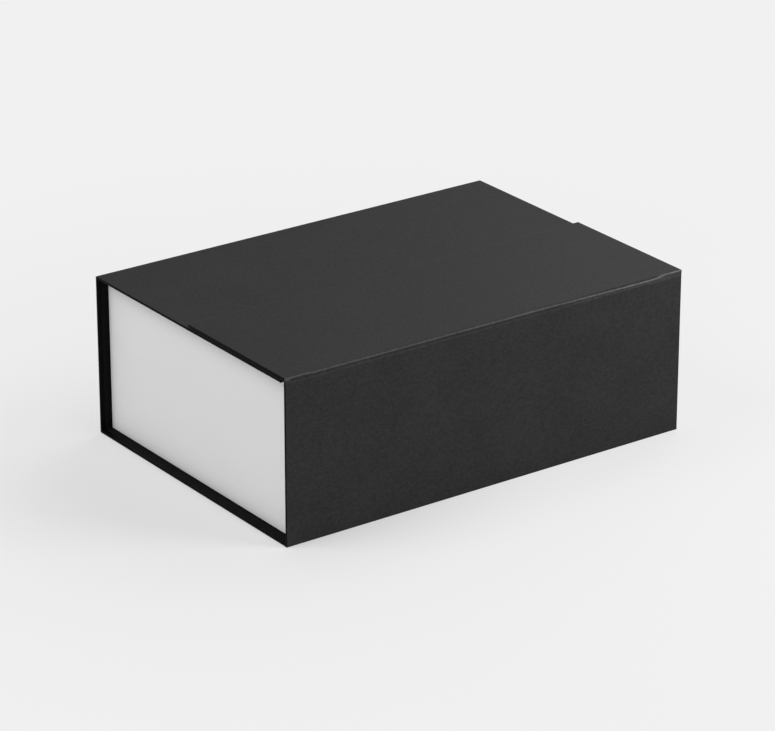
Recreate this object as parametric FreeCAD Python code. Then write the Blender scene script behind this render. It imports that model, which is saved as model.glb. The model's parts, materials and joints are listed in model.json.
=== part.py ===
"""Drawer gift box of wrapped grey board: a white drawer in a black wrap-round cover.

The cover is five boards in black paper, folded round the drawer: base, front panel, back panel,
lid and closing flap. The lid comes over from the back and the flap comes over from the front and
lies on the lid as far as the middle. The drawer slides out of either open end of the cover.

Millimetres. +X runs along the box, -Y is the front, where the flap is hinged, +Z is up.
The origin is at the middle of the base's underside.
"""

import FreeCAD, Part
import os

from FreeCAD import Vector

# Overall sizes of the closed cover
COVER_LENGTH = 300.0
COVER_WIDTH = 210.0
CLOSED_HEIGHT = 109.0

# The sheets that a cover panel is made of, from outside to inside
COVER_BOARD = 1.3
WRAP_PAPER = 0.2
LINER_PAPER = 0.15
TURN_IN = 18.0
LINER_END_MARGIN = 3.0
LINER_SIDE_MARGIN = 1.5

# Folds between cover panels. Only the two folds that turn have a crack in the paper.
FOLD_CRACK = 0.05
BOARD_CLEARANCE = 0.3

# How the closed panels lie on each other
FLAP_OVER_LID = 0.65
LID_FRONT_GAP = 3.0
SEAM_BEFORE_MIDDLE = 0.6

# Closure
MAGNET_DIAMETER = 12.0
MAGNET_THICKNESS = 1.0
DISC_THICKNESS = 0.8
POCKET_CLEARANCE = 0.1
MAGNET_FROM_SEAM = 14.0
MAGNET_SPACING = 170.0

# Drawer in the cover
END_RECESS = 7.5
DRAWER_SIDE_GAP = 0.4
DRAWER_FLOOR_GAP = 0.3
DRAWER_LID_GAP = 0.5

# The sheets that the drawer is made of
DRAWER_BOARD = 1.5
DRAWER_WRAP = 0.2
STAY_TAPE = 0.15
STAY_WIDTH = 20.0
DRAWER_LINING = 0.15
LINING_CLEARANCE = 0.2
RIM_TURN_IN = 16.0
RIM_LAP = 5.0

# How far every cutting block runs past what it cuts
OVERRUN = 5.0

# Worked out from the sizes above
PANEL_CORE = WRAP_PAPER + COVER_BOARD + WRAP_PAPER
PANEL = PANEL_CORE + LINER_PAPER
FOLD_START = WRAP_PAPER + FOLD_CRACK
LID_TOP = CLOSED_HEIGHT - PANEL - FLAP_OVER_LID
HALF_WIDTH = COVER_WIDTH / 2
INNER_HALF_WIDTH = HALF_WIDTH - PANEL

DRAWER_LENGTH = COVER_LENGTH - 2 * END_RECESS
DRAWER_WIDTH = 2 * (INNER_HALF_WIDTH - DRAWER_SIDE_GAP)
DRAWER_BOTTOM = PANEL + DRAWER_FLOOR_GAP
DRAWER_TOP = LID_TOP - PANEL - DRAWER_LID_GAP
BOARD_OUTSIDE = DRAWER_WRAP + STAY_TAPE
BOARD_INSIDE = BOARD_OUTSIDE + DRAWER_BOARD
FLOOR_BOARD_BOTTOM = DRAWER_BOTTOM + DRAWER_WRAP
FLOOR_BOARD_TOP = FLOOR_BOARD_BOTTOM + DRAWER_BOARD
WALL_TOP = DRAWER_TOP - DRAWER_WRAP


def block(x_span, y_span, z_span):
    """A box between two x, two y and two z values."""
    size = Vector(x_span[1] - x_span[0], y_span[1] - y_span[0], z_span[1] - z_span[0])
    return Part.makeBox(size.x, size.y, size.z, Vector(x_span[0], y_span[0], z_span[0]))


def both_sides(half):
    """The span that is as far on the minus side as on the plus side."""
    return (-half, half)


def write(name, shape):
    """Write one sub-part to its own file and report its size."""
    shape.exportStep(os.path.join("parts", name + ".step"))
    box = shape.BoundBox
    print(f"{name}: {len(shape.Solids)} solid, {box.XLength:.2f} x {box.YLength:.2f} x {box.ZLength:.2f}")


# Cover panels
# Each panel is drawn flat. Local x runs along the box, y runs across the panel from the edge
# where its wrap paper starts, and z runs inwards from its outer face. It is then put in place.


def placed(shape, origin, across, inwards):
    """Put a flat panel where it belongs: local y goes to `across` and local z to `inwards`."""
    along = across.cross(inwards)
    frame = FreeCAD.Matrix(
        along.x, across.x, inwards.x, origin.x,
        along.y, across.y, inwards.y, origin.y,
        along.z, across.z, inwards.z, origin.z,
    )
    moved = shape.copy()
    moved.Placement = FreeCAD.Placement(frame)
    return moved


def panel_board(board_span, paper_length):
    """The grey board: as long as the cover less the paper folded over each end."""
    half_length = paper_length / 2 - WRAP_PAPER
    return block(both_sides(half_length), board_span, (WRAP_PAPER, WRAP_PAPER + COVER_BOARD))


def panel_wrap(paper_span, board_span, paper_length, free_edge):
    """Outer paper: a flat sheet, folded over both ends of the board and turned in behind it.

    With a free edge it is folded over the board's far edge and turned in there too.
    """
    half_length = paper_length / 2
    sheet = block(both_sides(half_length), paper_span, (0, WRAP_PAPER))
    far_side = paper_span[1] if free_edge else board_span[1]
    sleeve = block(both_sides(half_length), (board_span[0], far_side), (0, PANEL_CORE))
    hollow_far = board_span[1] if free_edge else far_side + OVERRUN
    hollow = block(
        both_sides(half_length - WRAP_PAPER),
        (board_span[0] - OVERRUN, hollow_far),
        (WRAP_PAPER, WRAP_PAPER + COVER_BOARD),
    )
    window_far = far_side - TURN_IN if free_edge else far_side + OVERRUN
    window = block(
        both_sides(half_length - TURN_IN),
        (board_span[0] - OVERRUN, window_far),
        (WRAP_PAPER + COVER_BOARD, PANEL_CORE + OVERRUN),
    )
    return sheet.fuse(sleeve.cut(hollow).cut(window)).removeSplitter()


def panel_liner(board_span, paper_length, free_edge):
    """Inner paper: it lies on the board in the middle and on the turned-in paper at the ends.

    With a free edge it climbs the turned-in paper there too.
    """
    half_length = paper_length / 2
    near = board_span[0] + LINER_SIDE_MARGIN
    far = board_span[1] - (LINER_END_MARGIN if free_edge else LINER_SIDE_MARGIN)
    board_face = WRAP_PAPER + COVER_BOARD
    whole = block(both_sides(half_length - LINER_END_MARGIN), (near, far), (board_face, PANEL))
    # Under the liner, the turned-in paper takes up the ends and the free edge.
    step_far = board_span[1] + WRAP_PAPER - TURN_IN if free_edge else far + OVERRUN
    middle = block(
        both_sides(half_length - TURN_IN),
        (near - OVERRUN, step_far),
        (board_face - OVERRUN, PANEL_CORE),
    )
    turned_in = block(
        both_sides(half_length), (near - OVERRUN, board_span[1] + OVERRUN), (board_face, PANEL_CORE)
    )
    liner = whole.cut(turned_in.cut(middle))
    # In the middle the liner is only as thick as its paper.
    dip = block(
        both_sides(half_length - TURN_IN - LINER_PAPER),
        (near - OVERRUN, step_far - LINER_PAPER if free_edge else step_far),
        (board_face + LINER_PAPER, PANEL + OVERRUN),
    )
    return liner.cut(dip).removeSplitter()


def disc_places(y_place):
    """The middles of the two closure discs, on a line across the panel at y_place."""
    return [(x_place, y_place) for x_place in both_sides(MAGNET_SPACING / 2)]


def disc_group(places, diameter, z_low, thickness):
    """One disc at each place, as separate solids."""
    discs = [
        Part.makeCylinder(diameter / 2, thickness, Vector(x_place, y_place, z_low))
        for x_place, y_place in places
    ]
    return Part.makeCompound(discs)


def write_panel(name, shapes, origin, across, inwards):
    """Put the pieces of one panel in place and write each of them."""
    for piece, shape in shapes.items():
        write(f"{name}_{piece}", placed(shape, origin, across, inwards))


def plain_panel(paper_span, board_span, free_edge=False):
    """Board, wrap and liner of one panel, drawn flat."""
    return {
        "board": panel_board(board_span, COVER_LENGTH),
        "wrap_paper": panel_wrap(paper_span, board_span, COVER_LENGTH, free_edge),
        "liner_paper": panel_liner(board_span, COVER_LENGTH, free_edge),
    }


def make_base():
    """The base lies between the front and back panels. Its paper runs out under both."""
    board_half = INNER_HALF_WIDTH - BOARD_CLEARANCE
    shapes = plain_panel(both_sides(HALF_WIDTH), both_sides(board_half))
    write_panel("base", shapes, Vector(0, 0, 0), Vector(0, 1, 0), Vector(0, 0, 1))


def make_front():
    """The front panel is hinged on the base's paper. Its own paper runs up to the flap's fold."""
    paper_top = CLOSED_HEIGHT - FOLD_START
    shapes = plain_panel((FOLD_START, paper_top), (FOLD_START, LID_TOP))
    write_panel("front", shapes, Vector(0, -HALF_WIDTH, 0), Vector(0, 0, 1), Vector(0, 1, 0))


def make_back():
    """The back panel stands on the base's paper. Its own paper meets the lid's, as one sheet."""
    paper_top = LID_TOP - WRAP_PAPER
    board_top = LID_TOP - PANEL - BOARD_CLEARANCE
    shapes = plain_panel((WRAP_PAPER, paper_top), (WRAP_PAPER, board_top))
    write_panel("back", shapes, Vector(0, HALF_WIDTH, 0), Vector(0, 0, 1), Vector(0, -1, 0))


def make_lid():
    """The lid runs from the back fold nearly to the front panel, and holds the steel discs."""
    lid_width = COVER_WIDTH - PANEL - LID_FRONT_GAP
    board_span = (WRAP_PAPER + BOARD_CLEARANCE, lid_width - WRAP_PAPER)
    shapes = plain_panel((0, lid_width), board_span, free_edge=True)
    # Counted from the back, the flap's magnets lie this far across the lid.
    places = disc_places(HALF_WIDTH + SEAM_BEFORE_MIDDLE + MAGNET_FROM_SEAM)
    pocket_depth = DISC_THICKNESS + POCKET_CLEARANCE
    pockets = disc_group(
        places, MAGNET_DIAMETER + 2 * POCKET_CLEARANCE, WRAP_PAPER - OVERRUN, pocket_depth + OVERRUN
    )
    shapes["board"] = shapes["board"].cut(pockets)
    shapes["steel_discs"] = disc_group(places, MAGNET_DIAMETER, WRAP_PAPER, DISC_THICKNESS)
    write_panel("lid", shapes, Vector(0, HALF_WIDTH, LID_TOP), Vector(0, -1, 0), Vector(0, 0, -1))


def make_flap():
    """The closing flap runs from the front fold to the seam, and holds the magnets."""
    flap_width = HALF_WIDTH - SEAM_BEFORE_MIDDLE
    board_span = (WRAP_PAPER + BOARD_CLEARANCE, flap_width - WRAP_PAPER)
    shapes = plain_panel((0, flap_width), board_span, free_edge=True)
    places = disc_places(flap_width - MAGNET_FROM_SEAM)
    board_face = WRAP_PAPER + COVER_BOARD
    pocket_depth = MAGNET_THICKNESS + POCKET_CLEARANCE
    pockets = disc_group(
        places, MAGNET_DIAMETER + 2 * POCKET_CLEARANCE, board_face - pocket_depth, pocket_depth + OVERRUN
    )
    shapes["board"] = shapes["board"].cut(pockets)
    shapes["magnets"] = disc_group(
        places, MAGNET_DIAMETER, board_face - MAGNET_THICKNESS, MAGNET_THICKNESS
    )
    write_panel("flap", shapes, Vector(0, -HALF_WIDTH, CLOSED_HEIGHT), Vector(0, 1, 0), Vector(0, 0, -1))


# Drawer
# Its sheets are nested boxes. Each is as far in from the drawer's outside as the sheets
# outside it are thick.


def drawer_block(inset, z_span):
    """A box that is the drawer's outline drawn in by `inset`."""
    return block(
        both_sides(DRAWER_LENGTH / 2 - inset), both_sides(DRAWER_WIDTH / 2 - inset), z_span
    )


def drawer_ring(outer_inset, inner_inset, z_span):
    """A frame between two outlines of the drawer, open at top and bottom."""
    hole = drawer_block(inner_inset, (z_span[0] - OVERRUN, z_span[1] + OVERRUN))
    return drawer_block(outer_inset, z_span).cut(hole)


def mitred_board(outer, inner):
    """A board between two rectangles, with edges that slope from one to the other.

    Each rectangle is four corners in the same turning order.
    """
    outlines = [Part.makePolygon(corners + [corners[0]]) for corners in (outer, inner)]
    return Part.makeLoft(outlines, True, True)


def make_floor_board():
    """The floor: its four edges slope in, where the walls fold up from it."""

    def corners(inset, z_place):
        half_x = DRAWER_LENGTH / 2 - inset
        half_y = DRAWER_WIDTH / 2 - inset
        turns = [(-1, -1), (1, -1), (1, 1), (-1, 1)]
        return [Vector(x_sign * half_x, y_sign * half_y, z_place) for x_sign, y_sign in turns]

    board = mitred_board(
        corners(BOARD_OUTSIDE, FLOOR_BOARD_BOTTOM), corners(BOARD_INSIDE, FLOOR_BOARD_TOP)
    )
    write("drawer_floor_board", board)


def wall_board(half_run, half_depth, along, outwards):
    """A wall: its bottom and both upright edges slope in, and its top edge is square.

    half_run is half the drawer along the wall, half_depth is from the middle out to the wall.
    """

    def corners(inset, z_low):
        out = outwards * (half_depth - inset)
        side = along * (half_run - inset)
        low = Vector(0, 0, z_low)
        high = Vector(0, 0, WALL_TOP)
        return [out - side + low, out + side + low, out + side + high, out - side + high]

    return mitred_board(
        corners(BOARD_OUTSIDE, FLOOR_BOARD_BOTTOM), corners(BOARD_INSIDE, FLOOR_BOARD_TOP)
    )


def make_wall_boards():
    """Front and back walls run along the box, and the two ends run across it."""
    half_length = DRAWER_LENGTH / 2
    half_width = DRAWER_WIDTH / 2
    length_way = Vector(1, 0, 0)
    width_way = Vector(0, 1, 0)
    walls = {
        "front_wall": (half_length, half_width, length_way, -width_way),
        "back_wall": (half_length, half_width, length_way, width_way),
        "left_end": (half_width, half_length, width_way, -length_way),
        "right_end": (half_width, half_length, width_way, length_way),
    }
    for name, sizes in walls.items():
        write(f"drawer_{name}_board", wall_board(*sizes))


def make_corner_stays():
    """A strip of paper tape round each upright corner of the boards."""
    z_span = (FLOOR_BOARD_BOTTOM, WALL_TOP)
    ring = drawer_ring(DRAWER_WRAP, BOARD_OUTSIDE, z_span)
    half_x = DRAWER_LENGTH / 2 - BOARD_OUTSIDE - STAY_WIDTH
    half_y = DRAWER_WIDTH / 2 - BOARD_OUTSIDE - STAY_WIDTH
    tall = (z_span[0] - OVERRUN, z_span[1] + OVERRUN)
    across = block(both_sides(half_x), both_sides(DRAWER_WIDTH), tall)
    along = block(both_sides(DRAWER_LENGTH), both_sides(half_y), tall)
    stays = ring.cut(across).cut(along)
    write("drawer_corner_stays", Part.makeCompound(stays.Solids))


def make_drawer_wrap():
    """White paper: under the floor, up the four sides, over the rim and down inside."""
    rim_low = DRAWER_TOP - RIM_TURN_IN
    inner_face = BOARD_INSIDE + DRAWER_WRAP
    outside = drawer_block(0, (DRAWER_BOTTOM, DRAWER_TOP))
    boards = drawer_block(DRAWER_WRAP, (FLOOR_BOARD_BOTTOM, WALL_TOP))
    skin = outside.cut(boards)
    turned_in = drawer_ring(BOARD_INSIDE, inner_face, (rim_low, DRAWER_TOP))
    mouth = drawer_block(inner_face, (WALL_TOP - OVERRUN, DRAWER_TOP + OVERRUN))
    write("drawer_wrap_paper", skin.fuse(turned_in).cut(mouth).removeSplitter())


def make_drawer_linings():
    """White lining: round the walls, lapping over the turned-in wrap, and on the floor."""
    rim_low = DRAWER_TOP - RIM_TURN_IN
    wall_face = BOARD_INSIDE
    lap_face = BOARD_INSIDE + DRAWER_WRAP
    low = drawer_ring(wall_face, wall_face + DRAWER_LINING, (FLOOR_BOARD_TOP, rim_low))
    step = drawer_ring(wall_face, lap_face + DRAWER_LINING, (rim_low - DRAWER_LINING, rim_low))
    lap = drawer_ring(lap_face, lap_face + DRAWER_LINING, (rim_low, rim_low + RIM_LAP))
    write("drawer_wall_lining", low.fuse(step).fuse(lap).removeSplitter())

    floor_inset = wall_face + DRAWER_LINING + LINING_CLEARANCE
    floor_span = (FLOOR_BOARD_TOP, FLOOR_BOARD_TOP + DRAWER_LINING)
    write("drawer_floor_lining", drawer_block(floor_inset, floor_span))


def main():
    os.makedirs("parts", exist_ok=True)
    make_base()
    make_front()
    make_back()
    make_lid()
    make_flap()
    make_floor_board()
    make_wall_boards()
    make_corner_stays()
    make_drawer_wrap()
    make_drawer_linings()


main()
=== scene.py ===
# %% [markdown]
# # A black gift box with a white drawer
#
# The box is made of paper over grey board. Its cover is one long sheet of black paper glued
# round five boards, folded into a tube and closed by a flap. The drawer is a tray in white
# paper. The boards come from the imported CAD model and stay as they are. The papers are made
# here, because paper over board is all soft edges, folds and faint marks that flat CAD solids
# can't show.

import json
import math

import bmesh
import bpy
import numpy as np
from mathutils import Matrix, Vector


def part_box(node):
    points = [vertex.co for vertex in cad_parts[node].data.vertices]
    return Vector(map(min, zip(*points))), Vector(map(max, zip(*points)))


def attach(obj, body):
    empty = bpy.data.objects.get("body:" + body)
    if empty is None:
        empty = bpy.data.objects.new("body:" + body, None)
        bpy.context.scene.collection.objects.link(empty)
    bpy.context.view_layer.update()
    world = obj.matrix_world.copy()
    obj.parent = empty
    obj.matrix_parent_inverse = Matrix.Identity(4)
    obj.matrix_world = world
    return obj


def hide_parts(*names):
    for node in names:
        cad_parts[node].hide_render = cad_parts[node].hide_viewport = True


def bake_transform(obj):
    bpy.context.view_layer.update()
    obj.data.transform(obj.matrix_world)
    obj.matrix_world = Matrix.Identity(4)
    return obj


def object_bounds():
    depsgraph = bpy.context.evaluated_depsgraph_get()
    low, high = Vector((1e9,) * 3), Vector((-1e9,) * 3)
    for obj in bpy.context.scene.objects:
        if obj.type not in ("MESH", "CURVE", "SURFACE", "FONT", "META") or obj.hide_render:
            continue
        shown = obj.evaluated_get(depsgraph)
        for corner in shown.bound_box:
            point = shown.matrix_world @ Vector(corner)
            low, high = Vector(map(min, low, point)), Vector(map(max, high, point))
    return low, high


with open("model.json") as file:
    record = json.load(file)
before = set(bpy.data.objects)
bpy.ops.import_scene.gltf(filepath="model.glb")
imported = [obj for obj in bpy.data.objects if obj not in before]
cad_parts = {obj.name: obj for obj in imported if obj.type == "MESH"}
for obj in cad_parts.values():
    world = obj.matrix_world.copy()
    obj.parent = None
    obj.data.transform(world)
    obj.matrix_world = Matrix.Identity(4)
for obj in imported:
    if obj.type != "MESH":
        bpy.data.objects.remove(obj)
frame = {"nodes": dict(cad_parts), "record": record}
CAD_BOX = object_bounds()
print("CAD box, metres:", [tuple(round(v, 4) for v in corner) for corner in CAD_BOX])

# %% [markdown]
# ## Sizes
#
# Every paper has to lie on its board, so the sizes are read from the boxes of the CAD nodes.
# Lengths are in millimetres here and become metres when a mesh is made. +X runs along the box,
# -Y is the front, where the flap is folded over, and +Z is up.

# %% Read the sizes from the CAD nodes


def node_box(node):
    """Lowest and highest corner of a CAD node, in millimetres."""
    low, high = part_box(node)
    return np.array(low) * 1000, np.array(high) * 1000


_, base_high = node_box("base_wrap_paper")
lid_low, lid_high = node_box("lid_wrap_paper")
_, flap_high = node_box("flap_wrap_paper")
front_board_low, front_board_high = node_box("front_board")
base_board_low, _ = node_box("base_board")
liner_low, liner_high = node_box("base_liner_paper")
tray_low, tray_high = node_box("drawer_wrap_paper")
tray_floor_low, tray_floor_high = node_box("drawer_floor_lining")

HALF_LENGTH = base_high[0]
HALF_WIDTH = base_high[1]
CORE = base_high[2]
PANEL = liner_high[2]
LID_TOP = lid_high[2]
LID_EDGE = lid_low[1]
FLAP_TOP = flap_high[2]
FLAP_EDGE = flap_high[1]
FRONT_BOARD_TOP = front_board_high[2]
FRONT_BOARD_BOTTOM = front_board_low[2]
BASE_BOARD_EDGE = base_board_low[1]
TURN_IN = 18.0
LINER_MARGIN = HALF_LENGTH - liner_high[0]
LINER_DIP = CORE - liner_low[2]
DISC_PLACES = [(-85.0, -14.6), (85.0, -14.6)]
DISC_RADIUS = 6.0
print("cover", 2 * HALF_LENGTH, 2 * HALF_WIDTH, FLAP_TOP, "lid top", round(LID_TOP, 3))
print("panel core", round(CORE, 3), "with liner", round(PANEL, 3))

# %% [markdown]
# ## Camera
#
# The photo was taken with a long lens from well above the table. The view was fitted to twenty
# edges and corners of the box, so the camera here is placed by that fit and needs no shift.

# %% Place the camera
CAMERA_AZIMUTH = math.radians(-35.71)
CAMERA_ELEVATION = math.radians(22.78)
CAMERA_DISTANCE = 2.425
SENSOR_WIDTH = 36.0
FOCAL_PIXELS = 3850.0
PHOTO_WIDTH = 775.0
AIM_OFFSET = (-0.00084, -0.00878)

back_way = Vector((
    math.sin(CAMERA_AZIMUTH) * math.cos(CAMERA_ELEVATION),
    -math.cos(CAMERA_AZIMUTH) * math.cos(CAMERA_ELEVATION),
    math.sin(CAMERA_ELEVATION),
))
right_way = Vector((math.cos(CAMERA_AZIMUTH), math.sin(CAMERA_AZIMUTH), 0.0))
up_way = back_way.cross(right_way)
box_middle = (CAD_BOX[0] + CAD_BOX[1]) / 2

camera_data = bpy.data.cameras.new("photo_camera")
camera_data.sensor_width = SENSOR_WIDTH
camera_data.lens = FOCAL_PIXELS * SENSOR_WIDTH / PHOTO_WIDTH
camera_data.clip_start = 0.1
camera_data.clip_end = 50.0
camera = bpy.data.objects.new("photo_camera", camera_data)
turn = Matrix((right_way, up_way, back_way)).transposed().to_4x4()
place = box_middle + back_way * CAMERA_DISTANCE
place = place + right_way * AIM_OFFSET[0] + up_way * AIM_OFFSET[1]
camera.matrix_world = Matrix.Translation(place) @ turn
bpy.context.scene.collection.objects.link(camera)
bpy.context.scene.camera = camera
print("camera", [round(v, 3) for v in camera.location], "lens", round(camera_data.lens, 1))

# %% [markdown]
# ## Light
#
# The photo has the flat, soft light of a product studio. A pale world lights everything a
# little, and softboxes do the rest: one stands close at the front right and one hangs over the
# right end, so both black faces grow lighter towards the far end. One on the left lights the
# white end, and one behind gives the top its sheen. They are weak enough that no white face
# clips from any side, and strong enough that a colour renders about as it is written.

# %% Set the world and the lamps
world = bpy.data.worlds.new("studio")
bpy.context.scene.world = world
world.use_nodes = True


def srgb_to_linear(colour):
    """Turn a written colour such as "#c8c8c8" into the linear numbers that a shader needs."""
    code = colour.lstrip("#")
    parts = np.array([int(code[i:i + 2], 16) for i in (0, 2, 4)]) / 255
    linear = np.where(parts <= 0.04045, parts / 12.92, ((parts + 0.055) / 1.055) ** 2.4)
    return (*linear.tolist(), 1.0)


def add_node(tree, kind, sockets=None, **settings):
    """Add one node. A number or colour is set on a socket, and another node's output is linked."""
    node = tree.nodes.new(kind)
    for name, value in settings.items():
        setattr(node, name, value)
    for name, value in (sockets or {}).items():
        if isinstance(value, bpy.types.NodeSocket):
            tree.links.new(value, node.inputs[name])
        else:
            node.inputs[name].default_value = value
    return node


BACKDROP = "#f1f1f1"
STUDIO_LIGHT = "#f4f4f4"
STUDIO_STRENGTH = 0.42
world.node_tree.nodes.clear()
seen = add_node(world.node_tree, "ShaderNodeLightPath")
straight = add_node(
    world.node_tree,
    "ShaderNodeMath",
    {0: seen.outputs["Is Camera Ray"], 1: seen.outputs["Is Transmission Ray"]},
    operation="MAXIMUM",
)
studio = add_node(
    world.node_tree,
    "ShaderNodeBackground",
    {"Color": srgb_to_linear(STUDIO_LIGHT), "Strength": STUDIO_STRENGTH},
)
backdrop = add_node(
    world.node_tree, "ShaderNodeBackground", {"Color": srgb_to_linear(BACKDROP), "Strength": 1.0}
)
either = add_node(
    world.node_tree,
    "ShaderNodeMixShader",
    {0: straight.outputs[0], 1: studio.outputs[0], 2: backdrop.outputs[0]},
)
add_node(world.node_tree, "ShaderNodeOutputWorld", {"Surface": either.outputs[0]})


LAMP_TARGET = (0.0, 0.0, 0.05)


def add_lamp(name, place, size, power):
    """A square area lamp at a place, turned to the box. Size is in metres, power in watts."""
    data = bpy.data.lights.new(name, "AREA")
    data.shape = "SQUARE"
    data.size = size
    data.energy = power
    lamp = bpy.data.objects.new(name, data)
    lamp.location = place
    lamp.rotation_mode = "QUATERNION"
    lamp.rotation_quaternion = (Vector(LAMP_TARGET) - Vector(place)).to_track_quat("-Z", "Y")
    bpy.context.scene.collection.objects.link(lamp)
    return lamp


add_lamp("front_right_softbox", (0.6, -0.8, 0.6), 0.5, 5.1)
add_lamp("upper_right_softbox", (0.55, 0.15, 0.9), 0.5, 1.0)
add_lamp("back_softbox", (1.5, 1.0, 0.8), 0.9, 6.6)
add_lamp("left_softbox", (-1.3, 0.3, 1.5), 1.2, 15.2)

# %% [markdown]
# ## Floor
#
# The box stands on plain pale paper that runs out of the picture. The camera, and any glossy
# reflection, sees the photo's background colour mixed with the lit floor. By the left end,
# on the box's shady side, most of it is the lit floor, so the soft shadow remains. Sixty
# centimetres away there is only the background colour, as on paper that is lit for itself.

# %% Make the floor
FLOOR_HALF = 9.0
FLOOR_TOP = -5e-5
SHADE_MIDDLE = (-0.15, 0.0, 0.0)


def floor_material():
    """Pale matt paper, which shows more of the backdrop's colour the farther it is away."""
    material = bpy.data.materials.new("pale_studio_paper")
    material.use_nodes = True
    tree = material.node_tree
    tree.nodes.clear()
    where = add_node(tree, "ShaderNodeTexCoord")
    cloud = add_node(
        tree, "ShaderNodeTexNoise", {"Vector": where.outputs["Object"], "Scale": 1.3, "Detail": 1.0}
    )
    tint = add_node(
        tree,
        "ShaderNodeMix",
        {0: cloud.outputs["Fac"], 6: srgb_to_linear("#efefef"), 7: srgb_to_linear("#f1f1f1")},
        data_type="RGBA",
    )
    paper = add_node(
        tree,
        "ShaderNodeBsdfPrincipled",
        {"Base Color": tint.outputs[2], "Roughness": 0.9, "Specular IOR Level": 0.0},
    )
    from_shade = add_node(
        tree,
        "ShaderNodeVectorMath",
        {0: where.outputs["Object"], 1: SHADE_MIDDLE},
        operation="DISTANCE",
    )
    near = add_node(
        tree,
        "ShaderNodeMapRange",
        {"Value": from_shade.outputs["Value"], "From Min": 0.03, "From Max": 0.24,
         "To Min": 0.30, "To Max": 0.76},
        interpolation_type="SMOOTHSTEP",
    )
    from_middle = add_node(
        tree, "ShaderNodeVectorMath", {0: where.outputs["Object"]}, operation="LENGTH"
    )
    far = add_node(
        tree,
        "ShaderNodeMapRange",
        {"Value": from_middle.outputs["Value"], "From Min": 0.22, "From Max": 0.6,
         "To Min": 0.0, "To Max": 0.24},
        interpolation_type="SMOOTHSTEP",
    )
    outward = add_node(
        tree, "ShaderNodeMath", {0: near.outputs["Result"], 1: far.outputs["Result"]},
        operation="ADD",
    )
    shown = add_node(tree, "ShaderNodeEmission", {"Color": srgb_to_linear(BACKDROP)})
    ray = add_node(tree, "ShaderNodeLightPath")
    glossy = add_node(
        tree, "ShaderNodeMath", {0: ray.outputs["Is Camera Ray"], 1: ray.outputs["Is Glossy Ray"]},
        operation="MAXIMUM",
    )
    any_view = add_node(
        tree, "ShaderNodeMath", {0: glossy.outputs[0], 1: ray.outputs["Is Transmission Ray"]},
        operation="MAXIMUM",
    )
    share = add_node(
        tree, "ShaderNodeMath", {0: any_view.outputs[0], 1: outward.outputs[0]},
        operation="MULTIPLY",
    )
    mixed = add_node(
        tree, "ShaderNodeMixShader", {0: share.outputs[0], 1: paper.outputs[0], 2: shown.outputs[0]}
    )
    add_node(tree, "ShaderNodeOutputMaterial", {"Surface": mixed.outputs[0]})
    return material


floor_mesh = bpy.data.meshes.new("floor")
floor_mesh.from_pydata(
    [(-FLOOR_HALF, -FLOOR_HALF, FLOOR_TOP), (FLOOR_HALF, -FLOOR_HALF, FLOOR_TOP),
     (FLOOR_HALF, FLOOR_HALF, FLOOR_TOP), (-FLOOR_HALF, FLOOR_HALF, FLOOR_TOP)],
    [],
    [(0, 1, 2, 3)],
)
floor = bpy.data.objects.new("floor", floor_mesh)
floor.data.materials.append(floor_material())
bpy.context.scene.collection.objects.link(floor)
print("floor", 2 * FLOOR_HALF, "m wide")

# %% [markdown]
# ## Paths
#
# Seen from its end, every paper is a line that runs along a board and round its edges. A path
# is that line: straight runs joined by arcs. A paper folded over a 1.3 mm board never makes a
# sharp corner, so even the tightest arc has a radius of about a third of a millimetre.

# %% Straight runs joined by arcs
ARC_STEPS = 5
POINT_STEP = 7.0
NEAR_END = np.array([0.0, 0.35, 1.0, 2.2, 4.5])
FINE_REACH, FINE_STEP = 8.0, 0.8
CLOSEST = 0.15


def run_places(length, step=POINT_STEP, fine=()):
    """Places along a straight run: every `step`, closer at both ends and round the fine spots."""
    spots = [np.arange(0.0, length, step), NEAR_END, length - NEAR_END]
    spots += [np.arange(spot - FINE_REACH, spot + FINE_REACH, FINE_STEP) for spot in fine]
    places = np.concatenate(spots)
    places = np.unique(places[(places >= 0.0) & (places <= length)].round(3))
    keep = np.concatenate([[True], np.diff(places) > CLOSEST])
    return np.append(places[keep][places[keep] < length - CLOSEST], length)


def path(corners, radii, fine=()):
    """A line through corners, with an arc of the given radius at each inner corner.

    An arc's middle is one radius from both runs. Its points turn from one run's square to the
    other's in equal steps. `fine` gives (run number, place) pairs that need closer points.
    """
    corners = np.array(corners, float)
    ways = np.diff(corners, axis=0)
    ways /= np.linalg.norm(ways, axis=1, keepdims=True)
    bends = np.arccos(np.clip((ways[:-1] * ways[1:]).sum(1), -1, 1))
    turns = np.concatenate([[0.0], bends, [0.0]])
    cut = np.array(radii) * np.tan(turns / 2)
    pieces = []
    for i, way in enumerate(ways):
        start = corners[i] + way * cut[i]
        length = np.linalg.norm(corners[i + 1] - corners[i]) - cut[i] - cut[i + 1]
        spots = [spot - cut[i] for run, spot in fine if run == i]
        pieces.append(start + run_places(length, fine=spots)[:, None] * way)
        if i + 1 < len(ways) and radii[i + 1] > 0:
            side = ways[i + 1] - way * (way @ ways[i + 1])
            side /= np.linalg.norm(side)
            middle = corners[i + 1] - way * cut[i + 1] + side * radii[i + 1]
            angles = np.linspace(0, turns[i + 1], ARC_STEPS + 1)[1:-1, None]
            pieces.append(middle + radii[i + 1] * (way * np.sin(angles) - side * np.cos(angles)))
    line = np.concatenate(pieces)
    apart = np.linalg.norm(np.diff(line, axis=0), axis=1) > 1e-6
    return line[np.concatenate([[True], apart])]


def smooth_step(value, low, high):
    """0 below `low`, 1 above `high`, and a soft slope between them."""
    t = np.clip((value - low) / (high - low), 0, 1)
    return t * t * (3 - 2 * t)


print("points on a run of 100 mm:", len(run_places(100.0)))

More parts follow.
